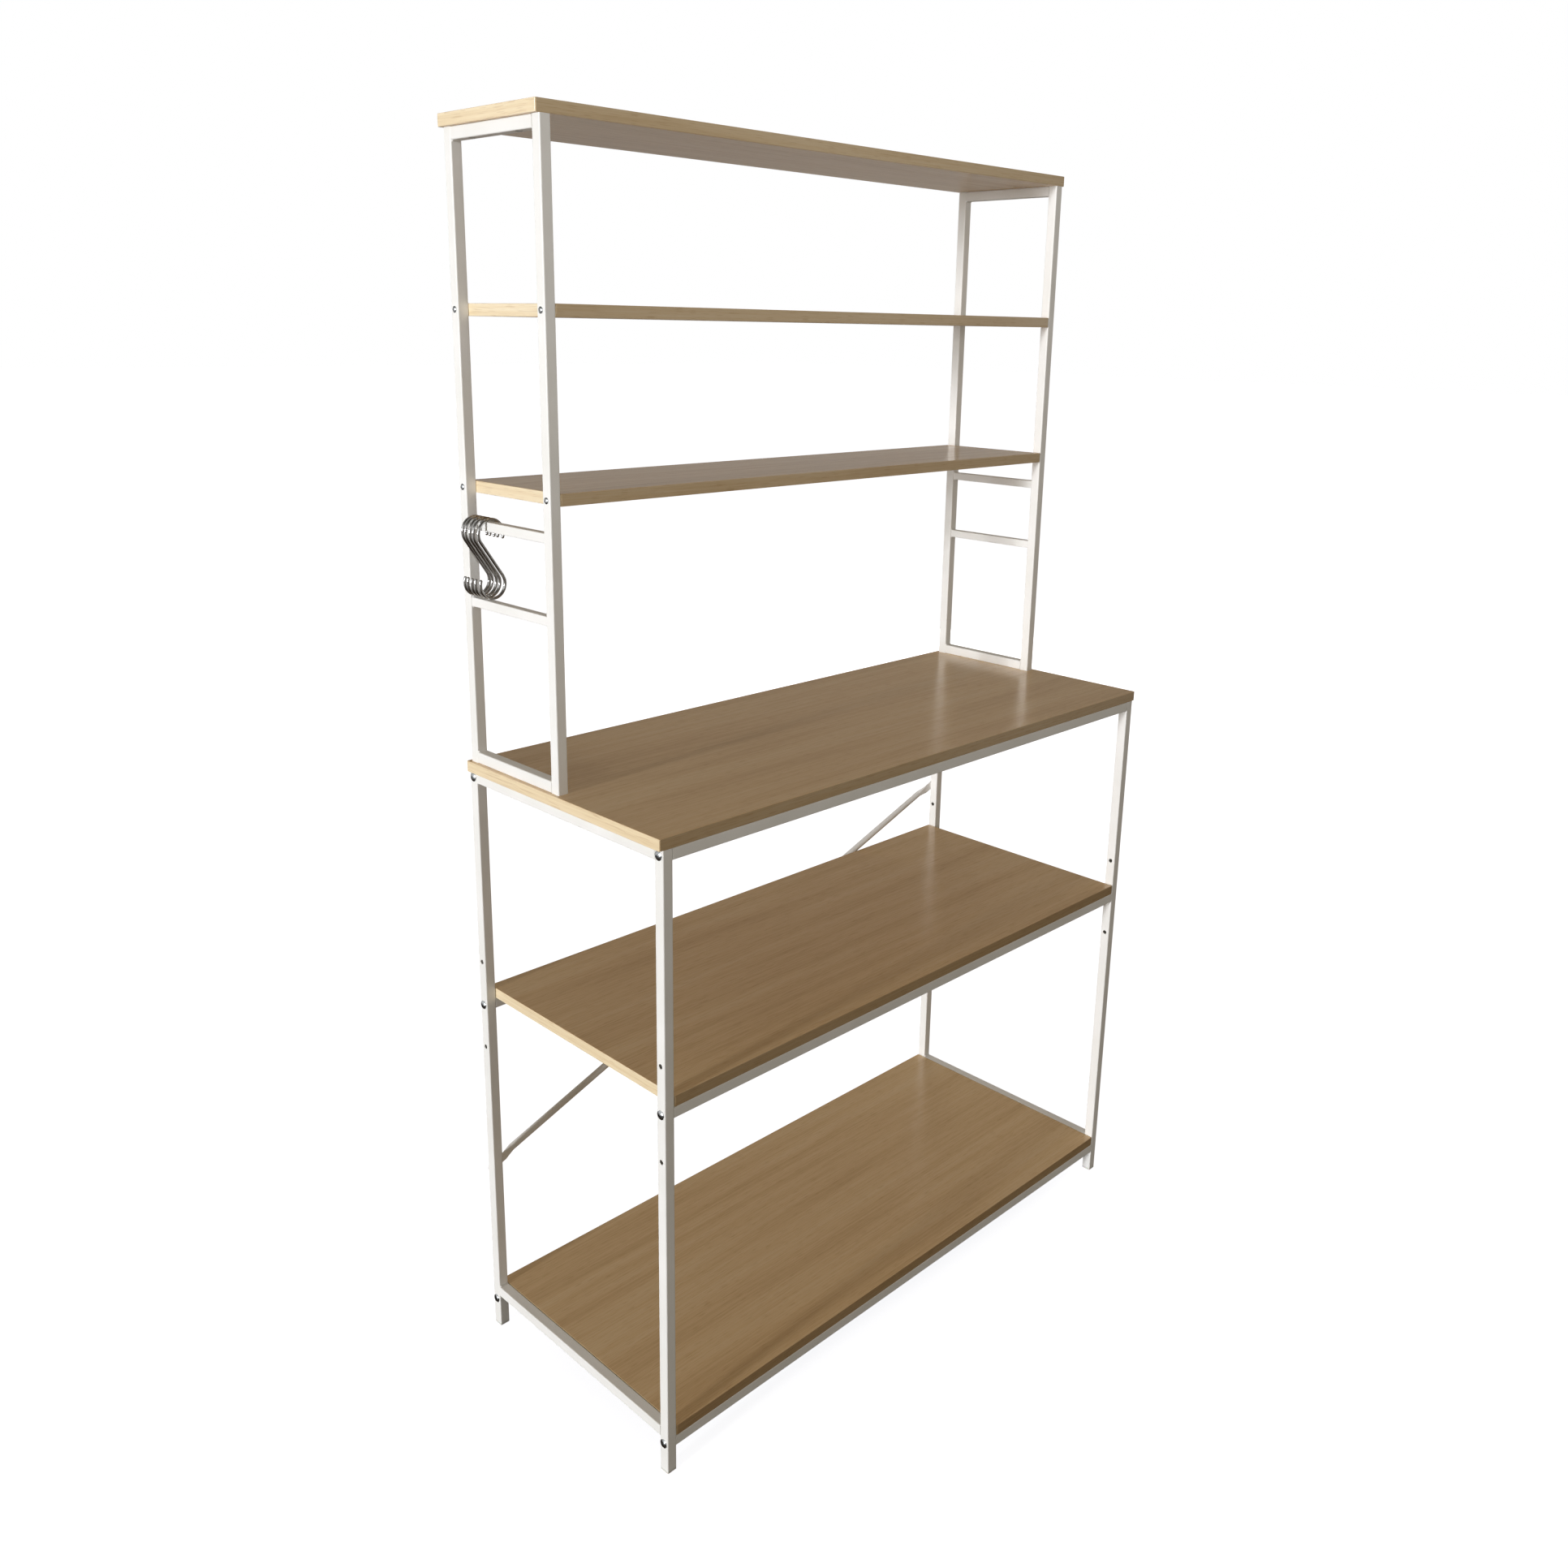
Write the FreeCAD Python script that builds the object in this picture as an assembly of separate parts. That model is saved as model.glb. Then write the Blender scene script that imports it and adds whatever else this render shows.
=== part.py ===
import FreeCAD, Part
import math
import os

# A kitchen rack in millimetres. A stand of welded square tube carries a desk board and
# two wide boards below it, and a shallower hutch of three narrow boards stands on the
# back half of the desk. X runs along the rack, the front faces minus Y and Z points up.
# The origin is on the floor, under the middle of the desk board.

# Driving dimensions of the rack
DESK_LENGTH = 1000.0
DESK_DEPTH = 400.0
DESK_HEIGHT = 880.0
HUTCH_HEIGHT = 800.0
HUTCH_DEPTH = 195.0
FRAME_INSET = 5.0
HUTCH_BACK_INSET = 5.0

# Heights of the boards and rungs
MIDDLE_BOARD_TOP = 546.0
SIDE_RAIL_BASE = 52.0
HUTCH_BAY_PITCH = 215.0
RUNG_DROP = 47.0

# Boards
BOARD_THICKNESS = 15.0
BOARD_EDGE_ROUND = 0.8
BOARD_CORNER_ROUND = 2.0
BOARD_END_GAP = 0.5

# Square tube of the frames and cross rails, and the thinner tube of the rungs
TUBE_SIZE = 15.0
TUBE_WALL = 1.2
TUBE_CORNER = 1.6
RUNG_SIZE = 12.0
RUNG_WALL = 1.0
RUNG_CORNER = 1.2
TUBE_INSIDE_CORNER = 0.5

# Frame bolts, the holes for them and the threaded plugs in the rail ends
BOLT_RADIUS = 3.0
BOLT_HEAD_RADIUS = 6.0
BOLT_HEAD_HEIGHT = 3.0
BOLT_RIM_HEIGHT = 1.0
BOLT_HOLE_CLEARANCE = 0.25
SPARE_HOLE_STEP = 65.0
PLUG_LENGTH = 20.0
PLUG_CLEARANCE = 0.1
BOLT_GRIP = 14.0
THREAD_CLEARANCE = 0.05

# Wood screws
SCREW_RADIUS = 2.0
SCREW_HEAD_RADIUS = 4.0
SCREW_HEAD_HEIGHT = 2.2
SCREW_RIM_HEIGHT = 0.6
SCREW_TIP = 3.0
SCREW_HOLE_CLEARANCE = 0.25
SCREW_BITE = 10.0
END_SCREW_BITE = 22.0
RAIL_SCREW_SPREAD = 480.0

# Machine screws and nuts that hold the hutch down, and the holes that let screw heads into rails
HUTCH_SCREW_SPREAD = 95.0
HUTCH_NUT_ACROSS_CORNERS = 8.0
HUTCH_NUT_HEIGHT = 3.2
HEAD_HOLE_CLEARANCE = 0.5

# Diagonal brace of round tube with flattened ends, and its bolts
BRACE_RADIUS = 5.0
BRACE_WALL = 1.0
BRACE_BACK_GAP = 0.3
BRACE_FLAT_THICKNESS = 2.2
BRACE_FLAT_WIDTH = 14.0
BRACE_FLAT_LENGTH = 22.0
BRACE_TAPER_LENGTH = 16.0
BRACE_LOW_RISE = 193.0
BRACE_HIGH_RISE = 36.5
BRACE_NUT_ACROSS_CORNERS = 11.0
BRACE_NUT_HEIGHT = 4.5

# Plastic feet in the post ends
FOOT_HEIGHT = 4.0
FOOT_PLUG_LENGTH = 14.0
FOOT_EDGE = 0.8

# S-hooks of bent wire, hung in a loose bunch over the left upper rung. Each gap, counted
# from the rear, is a share of the mean gap.
HOOK_WIRE = 4.0
HOOK_BEND_RADIUS = 18.0
HOOK_BEND_SPACING = 64.0
HOOK_TIP_DEGREES = 18.0
HOOK_GAP = 5.0
HOOK_GAP_SHARES = (0.6, 1.1, 0.8, 1.5)
HOOK_POST_GAP = 2.5
HOOK_SEAT_CLEARANCE = 0.3
HOOK_RUNG_CLEARANCE = 1.5

# Length by which a cutting tool runs past the face that it cuts
OVERRUN = 1.0

UP = FreeCAD.Vector(0, 0, 1)
DOWN = FreeCAD.Vector(0, 0, -1)
RIGHT = FreeCAD.Vector(1, 0, 0)
BACK = FreeCAD.Vector(0, 1, 0)
FORWARD = FreeCAD.Vector(0, -1, 0)

# Places that several pieces share
SIDES = {"left": -1, "right": 1}
FRAME_OUTSIDE = DESK_LENGTH / 2 - FRAME_INSET
POST_X = FRAME_OUTSIDE - TUBE_SIZE / 2
FRAME_INSIDE = FRAME_OUTSIDE - TUBE_SIZE
FRONT = -DESK_DEPTH / 2
REAR = DESK_DEPTH / 2
STAND_POST_Y = {"front": FRONT + TUBE_SIZE / 2, "rear": REAR - TUBE_SIZE / 2}
STAND_TOP = DESK_HEIGHT - BOARD_THICKNESS
BOTTOM_BOARD_TOP = SIDE_RAIL_BASE + TUBE_SIZE
WIDE_BOARD_TOPS = {"desk": DESK_HEIGHT, "middle": MIDDLE_BOARD_TOP, "bottom": BOTTOM_BOARD_TOP}

HUTCH_REAR = REAR - HUTCH_BACK_INSET
HUTCH_FRONT = HUTCH_REAR - HUTCH_DEPTH
HUTCH_POST_Y = {"front": HUTCH_FRONT + TUBE_SIZE / 2, "rear": HUTCH_REAR - TUBE_SIZE / 2}
HUTCH_MIDDLE = (HUTCH_FRONT + HUTCH_REAR) / 2
RACK_TOP = DESK_HEIGHT + HUTCH_HEIGHT
HUTCH_FRAME_TOP = RACK_TOP - BOARD_THICKNESS
SHELF_TOPS = {"upper": RACK_TOP - HUTCH_BAY_PITCH, "lower": RACK_TOP - 2 * HUTCH_BAY_PITCH}

BOLT_HOLE_RADIUS = BOLT_RADIUS + BOLT_HOLE_CLEARANCE
SCREW_HOLE_RADIUS = SCREW_RADIUS + SCREW_HOLE_CLEARANCE
HEAD_HOLE_RADIUS = SCREW_HEAD_RADIUS + HEAD_HOLE_CLEARANCE
PLUG_SIZE = TUBE_SIZE - 2 * TUBE_WALL - 2 * PLUG_CLEARANCE

# A hook's upper bend is centred this far below the top of the rung, so that its inside
# rests on both upper edges of the rung.
HOOK_INSIDE_RADIUS = HOOK_BEND_RADIUS - HOOK_WIRE / 2
RUNG_FLAT_HALF = RUNG_SIZE / 2 - RUNG_CORNER
HOOK_REACH = HOOK_INSIDE_RADIUS - HOOK_SEAT_CLEARANCE - RUNG_CORNER
HOOK_DROP = math.sqrt(HOOK_REACH ** 2 - RUNG_FLAT_HALF ** 2) + RUNG_CORNER
RUNG_PITCH = HOOK_DROP + HOOK_BEND_SPACING + HOOK_BEND_RADIUS + HOOK_WIRE / 2 + HOOK_RUNG_CLEARANCE
UPPER_RUNG_TOP = SHELF_TOPS["lower"] - RUNG_DROP
RUNG_TOPS = {"upper": UPPER_RUNG_TOP, "lower": UPPER_RUNG_TOP - RUNG_PITCH}


def polar(radius, degrees):
    """A point in the XY plane, given from the origin."""
    turn = math.radians(degrees)
    return FreeCAD.Vector(radius * math.cos(turn), radius * math.sin(turn), 0)


def aligned(shape, place, direction):
    """Turns a shape that was made along Z to a direction, and moves its origin to a place."""
    shape.Placement = FreeCAD.Placement(place, FreeCAD.Rotation(UP, direction))
    return shape


def save(node, solids):
    """Writes one node: a single solid, or a group of separate ones."""
    shape = solids[0] if len(solids) == 1 else Part.makeCompound(solids)
    shape.exportStep(os.path.join("parts", node + ".step"))


def rounded_rectangle(width, depth, corner):
    """A closed outline about the origin in the XY plane, with round corners."""
    arcs = []
    for quarter, (side_x, side_y) in enumerate(((1, 1), (-1, 1), (-1, -1), (1, -1))):
        centre = FreeCAD.Vector(side_x * (width / 2 - corner), side_y * (depth / 2 - corner), 0)
        turns = [quarter * 90 + step for step in (0, 45, 90)]
        arcs.append(Part.Arc(*[centre + polar(corner, turn) for turn in turns]))
    edges = []
    for quarter, arc in enumerate(arcs):
        following = arcs[(quarter + 1) % 4]
        edges.append(arc.toShape())
        edges.append(Part.LineSegment(arc.EndPoint, following.StartPoint).toShape())
    return Part.Wire(edges)


def bar(width, depth, corner, length):
    """A solid bar of rounded rectangular section along Z from the origin."""
    return Part.Face(rounded_rectangle(width, depth, corner)).extrude(UP * length)


def square_tube(size, wall, corner, start, direction, length):
    """A square tube whose centre line runs from a start point along a direction."""
    bore_size = size - 2 * wall
    outside = bar(size, size, corner, length)
    inside = bar(bore_size, bore_size, TUBE_INSIDE_CORNER, length)
    return aligned(outside.cut(inside).Solids[0], start, direction)


def frame_tube(start, direction, length):
    """A length of the frames' own tube."""
    return square_tube(TUBE_SIZE, TUBE_WALL, TUBE_CORNER, start, direction, length)


def drill(shape, holes):
    """Cuts (place, direction, radius, length) holes, each from its mouth inward."""
    for place, direction, radius, length in holes:
        mouth = place - direction * OVERRUN
        shape = shape.cut(Part.makeCylinder(radius, length + OVERRUN, mouth, direction))
    return shape.Solids[0]


def headed_fastener(radius, length, head_radius, head_height, rim_height, tip):
    """A bolt or screw along Z: domed head above the origin, shank below, cut to a point over its tip."""
    dome_height = head_height - rim_height
    dome_radius = (head_radius ** 2 + dome_height ** 2) / (2 * dome_height)
    dome_turn = math.asin(head_radius / dome_radius) / 2
    shoulder_height = head_height - dome_radius * (1 - math.cos(dome_turn))
    shoulder = FreeCAD.Vector(dome_radius * math.sin(dome_turn), 0, shoulder_height)
    points = [
        FreeCAD.Vector(head_radius, 0, rim_height),
        FreeCAD.Vector(head_radius, 0, 0),
        FreeCAD.Vector(radius, 0, 0),
        FreeCAD.Vector(radius, 0, tip - length),
        FreeCAD.Vector(0, 0, -length),
        FreeCAD.Vector(0, 0, head_height),
    ]
    edges = [Part.LineSegment(start, end).toShape() for start, end in zip(points, points[1:])]
    edges.append(Part.Arc(points[-1], shoulder, points[0]).toShape())
    return Part.Face(Part.Wire(edges)).revolve(FreeCAD.Vector(0, 0, 0), UP, 360)


def machine_bolt(place, outward, length):
    """A pan-head bolt whose head sits on a face, with its shank going inward."""
    bolt = headed_fastener(BOLT_RADIUS, length, BOLT_HEAD_RADIUS, BOLT_HEAD_HEIGHT, BOLT_RIM_HEIGHT, 0)
    return aligned(bolt, place, outward)


def screw(place, outward, length, tip):
    """A screw whose domed head sits on a face, cut to a point over its tip."""
    shape = headed_fastener(
        SCREW_RADIUS, length, SCREW_HEAD_RADIUS, SCREW_HEAD_HEIGHT, SCREW_RIM_HEIGHT, tip
    )
    return aligned(shape, place, outward)


def wood_screw(place, outward, bite):
    """A screw through one tube and on by its bite into the board behind it."""
    return screw(place, outward, TUBE_SIZE + bite, SCREW_TIP)


def hex_nut(place, direction, bolt_radius, across_corners, height):
    """A hexagonal nut that lies on a wall and stands off it in a direction."""
    corners = [polar(across_corners / 2, 60 * corner) for corner in range(7)]
    nut = Part.Face(Part.makePolygon(corners)).extrude(UP * height)
    nut = nut.cut(Part.makeCylinder(bolt_radius + THREAD_CLEARANCE, height)).Solids[0]
    return aligned(nut, place, direction)


def through_tube(place, outward, radius):
    """A hole through both walls of a tube, from the face where the fastener's head sits."""
    return (place, outward * -1, radius, TUBE_SIZE + OVERRUN)


def through_wall(place, outward, radius):
    """A hole through one wall of a tube, from its outside face."""
    return (place, outward * -1, radius, TUBE_WALL + OVERRUN)


def pilot_hole(place, outward, bite):
    """The hole in a board for a screw whose head sits one tube away from that board."""
    return (place - outward * TUBE_SIZE, outward * -1, SCREW_RADIUS + THREAD_CLEARANCE, bite)


def rail_height(board):
    """The centre height of the cross rails that carry a wide board."""
    return WIDE_BOARD_TOPS[board] - BOARD_THICKNESS - TUBE_SIZE / 2


def bolt_place(side, end, board):
    """Where a frame bolt's head meets the outside of a post."""
    return FreeCAD.Vector(SIDES[side] * FRAME_OUTSIDE, STAND_POST_Y[end], rail_height(board))


def outward_of(side):
    """The direction out of the rack at one of its sides."""
    return RIGHT * SIDES[side]


def rail_screw_places(board):
    """Where the four screws under a wide board's cross rails have their heads."""
    height = WIDE_BOARD_TOPS[board] - BOARD_THICKNESS - TUBE_SIZE
    return [
        FreeCAD.Vector(hand * RAIL_SCREW_SPREAD / 2, y, height)
        for hand in SIDES.values()
        for y in STAND_POST_Y.values()
    ]


def hutch_screw_places(height, sides=SIDES):
    """Two places a side at one height, in line with the hutch's top and bottom rails."""
    return [
        FreeCAD.Vector(SIDES[side] * POST_X, HUTCH_MIDDLE + step * HUTCH_SCREW_SPREAD / 2, height)
        for side in sides
        for step in (-1, 1)
    ]


def hidden_head_holes(side, underside):
    """Holes up into a rail whose upper wall holds two screws, wide enough below for their heads."""
    places = hutch_screw_places(underside, [side])
    holes = [through_wall(place, DOWN, HEAD_HOLE_RADIUS) for place in places]
    return holes + [through_tube(place, DOWN, SCREW_HOLE_RADIUS) for place in places]


def shelf_screw_places(shelf):
    """Where the four screws into a hutch shelf's ends have their heads, with their directions."""
    height = SHELF_TOPS[shelf] - BOARD_THICKNESS / 2
    return [
        (FreeCAD.Vector(SIDES[side] * FRAME_OUTSIDE, y, height), outward_of(side))
        for side in SIDES
        for y in HUTCH_POST_Y.values()
    ]


def stand_post(side, end):
    """A post of the stand, drilled for its three frame bolts and two spare heights."""
    x = SIDES[side] * POST_X
    y = STAND_POST_Y[end]
    post = frame_tube(FreeCAD.Vector(x, y, FOOT_HEIGHT), UP, STAND_TOP - FOOT_HEIGHT)
    outward = outward_of(side)
    places = [bolt_place(side, end, board) for board in WIDE_BOARD_TOPS]
    middle = bolt_place(side, end, "middle")
    places += [middle + UP * SPARE_HOLE_STEP, middle - UP * SPARE_HOLE_STEP]
    holes = [through_tube(place, outward, BOLT_HOLE_RADIUS) for place in places]
    if end == "rear":
        holes.append(through_wall(BRACE_ENDS[side], BACK, BOLT_HOLE_RADIUS))
    return drill(post, holes)


def stand_side_rail(side, underside, holes):
    """A welded rail of the stand, from the front post to the rear post."""
    start = FreeCAD.Vector(SIDES[side] * POST_X, FRONT + TUBE_SIZE, underside + TUBE_SIZE / 2)
    return drill(frame_tube(start, BACK, DESK_DEPTH - 2 * TUBE_SIZE), holes)


def stand_top_rail(side):
    """The rail under the desk board, which holds the heads of two hutch screws."""
    underside = STAND_TOP - TUBE_SIZE
    return stand_side_rail(side, underside, hidden_head_holes(side, underside))


def cross_rail(end, board):
    """A bolted rail under a wide board, with holes for the screws into the board."""
    start = FreeCAD.Vector(-FRAME_INSIDE, STAND_POST_Y[end], rail_height(board))
    rail = frame_tube(start, RIGHT, 2 * FRAME_INSIDE)
    places = [place for place in rail_screw_places(board) if place.y == STAND_POST_Y[end]]
    return drill(rail, [through_tube(place, DOWN, SCREW_HOLE_RADIUS) for place in places])


def rail_plug(side, end, board):
    """The threaded block in the end of a cross rail that takes the frame bolt."""
    block = bar(PLUG_SIZE, PLUG_SIZE, TUBE_INSIDE_CORNER, PLUG_LENGTH)
    thread = Part.makeCylinder(BOLT_RADIUS + THREAD_CLEARANCE, PLUG_LENGTH)
    face = FreeCAD.Vector(SIDES[side] * FRAME_INSIDE, STAND_POST_Y[end], rail_height(board))
    return aligned(block.cut(thread).Solids[0], face, outward_of(side) * -1)


def board(length, y_front, depth, top, holes):
    """A board centred along X, with eased edges and drilled for its screws."""
    slab = bar(length, depth, BOARD_CORNER_ROUND, BOARD_THICKNESS)
    rims = [edge for edge in slab.Edges if edge.Vertexes[0].Z == edge.Vertexes[-1].Z]
    slab = slab.makeFillet(BOARD_EDGE_ROUND, rims)
    slab.translate(FreeCAD.Vector(0, y_front + depth / 2, top - BOARD_THICKNESS))
    return drill(slab, holes)


def desk_board():
    """The worktop, screwed down by its rails and clamped between the stand and the hutch."""
    holes = [pilot_hole(place, DOWN, SCREW_BITE) for place in rail_screw_places("desk")]
    for place in hutch_screw_places(STAND_TOP):
        holes.append((place, UP, SCREW_HOLE_RADIUS, BOARD_THICKNESS + OVERRUN))
    return board(DESK_LENGTH, FRONT, DESK_DEPTH, DESK_HEIGHT, holes)


def wide_board(name):
    """The middle or bottom board, lying on its cross rails between the side frames."""
    holes = [pilot_hole(place, DOWN, SCREW_BITE) for place in rail_screw_places(name)]
    length = 2 * (FRAME_INSIDE - BOARD_END_GAP)
    return board(length, FRONT, DESK_DEPTH, WIDE_BOARD_TOPS[name], holes)


def hutch_shelf(name):
    """A narrow board held between the hutch posts by screws into its ends."""
    holes = [pilot_hole(place, out, END_SCREW_BITE) for place, out in shelf_screw_places(name)]
    return board(2 * FRAME_INSIDE, HUTCH_FRONT, HUTCH_DEPTH, SHELF_TOPS[name], holes)


def top_board():
    """The board on top of the hutch, flush with the frames in front and the desk behind."""
    places = hutch_screw_places(HUTCH_FRAME_TOP - TUBE_SIZE)
    holes = [pilot_hole(place, DOWN, SCREW_BITE) for place in places]
    return board(DESK_LENGTH, HUTCH_FRONT, REAR - HUTCH_FRONT, RACK_TOP, holes)


def hutch_post(side, end):
    """A post of the hutch, drilled for the screws into the shelf ends."""
    start = FreeCAD.Vector(SIDES[side] * POST_X, HUTCH_POST_Y[end], DESK_HEIGHT)
    post = frame_tube(start, UP, HUTCH_FRAME_TOP - DESK_HEIGHT)
    holes = []
    for shelf in SHELF_TOPS:
        for place, outward in shelf_screw_places(shelf):
            if outward == outward_of(side) and place.y == HUTCH_POST_Y[end]:
                holes.append(through_tube(place, outward, SCREW_HOLE_RADIUS))
    return drill(post, holes)


def hutch_side_rail(side, underside, holes):
    """A welded rail of the hutch, from the front post to the rear post."""
    start = FreeCAD.Vector(SIDES[side] * POST_X, HUTCH_FRONT + TUBE_SIZE, underside + TUBE_SIZE / 2)
    return drill(frame_tube(start, BACK, HUTCH_DEPTH - 2 * TUBE_SIZE), holes)


def hutch_top_rail(side):
    """The rail under the top board, which holds the heads of its two screws."""
    underside = HUTCH_FRAME_TOP - TUBE_SIZE
    return hutch_side_rail(side, underside, hidden_head_holes(side, underside))


def hutch_bottom_rail(side):
    """The rail on the desk board, with two holes in its lower wall for the hutch screws."""
    places = hutch_screw_places(DESK_HEIGHT, [side])
    holes = [through_wall(place, DOWN, SCREW_HOLE_RADIUS) for place in places]
    return hutch_side_rail(side, DESK_HEIGHT, holes)


def hutch_rung(side, name):
    """A thinner rung of the hutch, from the front post to the rear post."""
    height = RUNG_TOPS[name] - RUNG_SIZE / 2
    start = FreeCAD.Vector(SIDES[side] * POST_X, HUTCH_FRONT + TUBE_SIZE, height)
    return square_tube(RUNG_SIZE, RUNG_WALL, RUNG_CORNER, start, BACK, HUTCH_DEPTH - 2 * TUBE_SIZE)


def pressed_section(width, thickness, centre, height):
    """The outline of a tube pressed flat: two straight sides and two round ends."""
    half_flat = (width - thickness) / 2
    ends = []
    for hand in (1, -1):
        middle = FreeCAD.Vector(hand * half_flat, centre, height)
        turns = [hand * 90 - 90 + step for step in (-90, 0, 90)]
        ends.append(Part.Arc(*[middle + polar(thickness / 2, turn) for turn in turns]))
    edges = []
    for end, following in zip(ends, ends[::-1]):
        edges.append(end.toShape())
        edges.append(Part.LineSegment(end.EndPoint, following.StartPoint).toShape())
    return Part.Wire(edges)


def round_section(radius, centre, height):
    """The outline of the round tube, in four arcs that match the pressed outline's edges."""
    middle = FreeCAD.Vector(0, centre, height)
    edges = []
    for quarter in range(4):
        turns = [quarter * 90 + step for step in (-45, 0, 45)]
        edges.append(Part.Arc(*[middle + polar(radius, turn) for turn in turns]).toShape())
    return Part.Wire(edges)


def diagonal_brace():
    """A round tube across the back, drawn down at both ends to flat eyes on the rear posts."""
    low = BRACE_ENDS["left"]
    high = BRACE_ENDS["right"]
    span = (high - low).Length
    flat_centre = BRACE_FLAT_THICKNESS / 2
    tube_centre = BRACE_BACK_GAP + BRACE_RADIUS
    taper_end = BRACE_FLAT_LENGTH + BRACE_TAPER_LENGTH
    round_start = FreeCAD.Vector(0, tube_centre, taper_end)
    round_length = span - 2 * taper_end
    brace = Part.makeCylinder(BRACE_RADIUS, round_length, round_start, UP)
    for eye_height, along in ((0, 1), (span, -1)):
        flat_end = eye_height + along * BRACE_FLAT_LENGTH
        flat = pressed_section(BRACE_FLAT_WIDTH, BRACE_FLAT_THICKNESS, flat_centre, flat_end)
        full = round_section(BRACE_RADIUS, tube_centre, eye_height + along * taper_end)
        taper = Part.makeLoft([flat, full], True, True)
        tongue = Part.Face(flat).extrude(UP * (-along * BRACE_FLAT_LENGTH))
        eye_centre = FreeCAD.Vector(0, 0, eye_height)
        eye = Part.makeCylinder(BRACE_FLAT_WIDTH / 2, BRACE_FLAT_THICKNESS, eye_centre, BACK)
        brace = brace.fuse([taper, tongue, eye])
    bore = Part.makeCylinder(BRACE_RADIUS - BRACE_WALL, round_length, round_start, UP)
    brace = brace.cut(bore).removeSplitter().Solids[0]
    eye_depth = BRACE_FLAT_THICKNESS + OVERRUN
    holes = [(UP * eye_height, BACK, BOLT_HOLE_RADIUS, eye_depth) for eye_height in (0, span)]
    return aligned(drill(brace, holes), low, (high - low).normalize())


def brace_bolt(side):
    """The short bolt through an eye of the brace and the back wall of its post."""
    place = BRACE_ENDS[side] + BACK * BRACE_FLAT_THICKNESS
    return machine_bolt(place, BACK, BRACE_FLAT_THICKNESS + TUBE_WALL + BRACE_NUT_HEIGHT)


def brace_nut(side):
    """The nut held inside a rear post for the brace bolt."""
    place = BRACE_ENDS[side] + FORWARD * TUBE_WALL
    return hex_nut(place, FORWARD, BOLT_RADIUS, BRACE_NUT_ACROSS_CORNERS, BRACE_NUT_HEIGHT)


def hutch_nut(place):
    """The nut inside a bottom rail of the hutch that a screw from below is turned into."""
    return hex_nut(place, UP, SCREW_RADIUS, HUTCH_NUT_ACROSS_CORNERS, HUTCH_NUT_HEIGHT)


def foot(side, end):
    """A moulded foot whose plug is pushed up into the open end of a post."""
    pad = bar(TUBE_SIZE, TUBE_SIZE, TUBE_CORNER, FOOT_HEIGHT)
    rim = [edge for edge in pad.Edges if edge.Vertexes[0].Z == 0 and edge.Vertexes[-1].Z == 0]
    pad = pad.makeChamfer(FOOT_EDGE, rim)
    plug = bar(PLUG_SIZE, PLUG_SIZE, TUBE_INSIDE_CORNER, FOOT_PLUG_LENGTH)
    plug.translate(UP * FOOT_HEIGHT)
    place = FreeCAD.Vector(SIDES[side] * POST_X, STAND_POST_Y[end], 0)
    return aligned(pad.fuse(plug).Solids[0], place, UP)


def hook_point(centre_height, degrees):
    """A point on a bend of a hook, in the upright plane of the hook."""
    bend = polar(HOOK_BEND_RADIUS, degrees)
    return FreeCAD.Vector(bend.x, 0, centre_height + bend.y)


def bend(centre_height, turns):
    """The wire's centre line round one bend, through three directions."""
    return Part.Arc(*[hook_point(centre_height, turn) for turn in turns]).toShape()


def s_hook(number):
    """A hook of round wire: two bends, the straight shank that leans across, and rounded tips."""
    lean = math.degrees(math.asin(2 * HOOK_BEND_RADIUS / HOOK_BEND_SPACING))
    upper_turns = [-HOOK_TIP_DEGREES, (180 + lean - HOOK_TIP_DEGREES) / 2, 180 + lean]
    lower_turns = [turn + 180 for turn in upper_turns[::-1]]
    upper_bend = bend(0, upper_turns)
    lower_bend = bend(-HOOK_BEND_SPACING, lower_turns)
    shank = Part.LineSegment(
        hook_point(0, upper_turns[-1]), hook_point(-HOOK_BEND_SPACING, lower_turns[0])
    ).toShape()
    path = Part.Wire([upper_bend, shank, lower_bend])
    tips = [hook_point(0, upper_turns[0]), hook_point(-HOOK_BEND_SPACING, lower_turns[-1])]
    tip_direction = upper_bend.tangentAt(upper_bend.FirstParameter)
    section = Part.Wire(Part.makeCircle(HOOK_WIRE / 2, tips[0], tip_direction))
    wire = path.makePipeShell([section], True, False)
    hook = wire.fuse([Part.makeSphere(HOOK_WIRE / 2, tip) for tip in tips]).Solids[0]
    first_y = HUTCH_REAR - TUBE_SIZE - HOOK_POST_GAP - HOOK_WIRE / 2
    y = first_y - number * HOOK_WIRE - sum(HOOK_GAP_SHARES[:number]) * HOOK_GAP
    return aligned(hook, FreeCAD.Vector(-POST_X, y, UPPER_RUNG_TOP - HOOK_DROP), UP)


BRACE_ENDS = {
    "left": FreeCAD.Vector(-POST_X, REAR, BOTTOM_BOARD_TOP + BRACE_LOW_RISE),
    "right": FreeCAD.Vector(POST_X, REAR, rail_height("middle") + SPARE_HOLE_STEP + BRACE_HIGH_RISE),
}

os.makedirs("parts", exist_ok=True)

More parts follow.
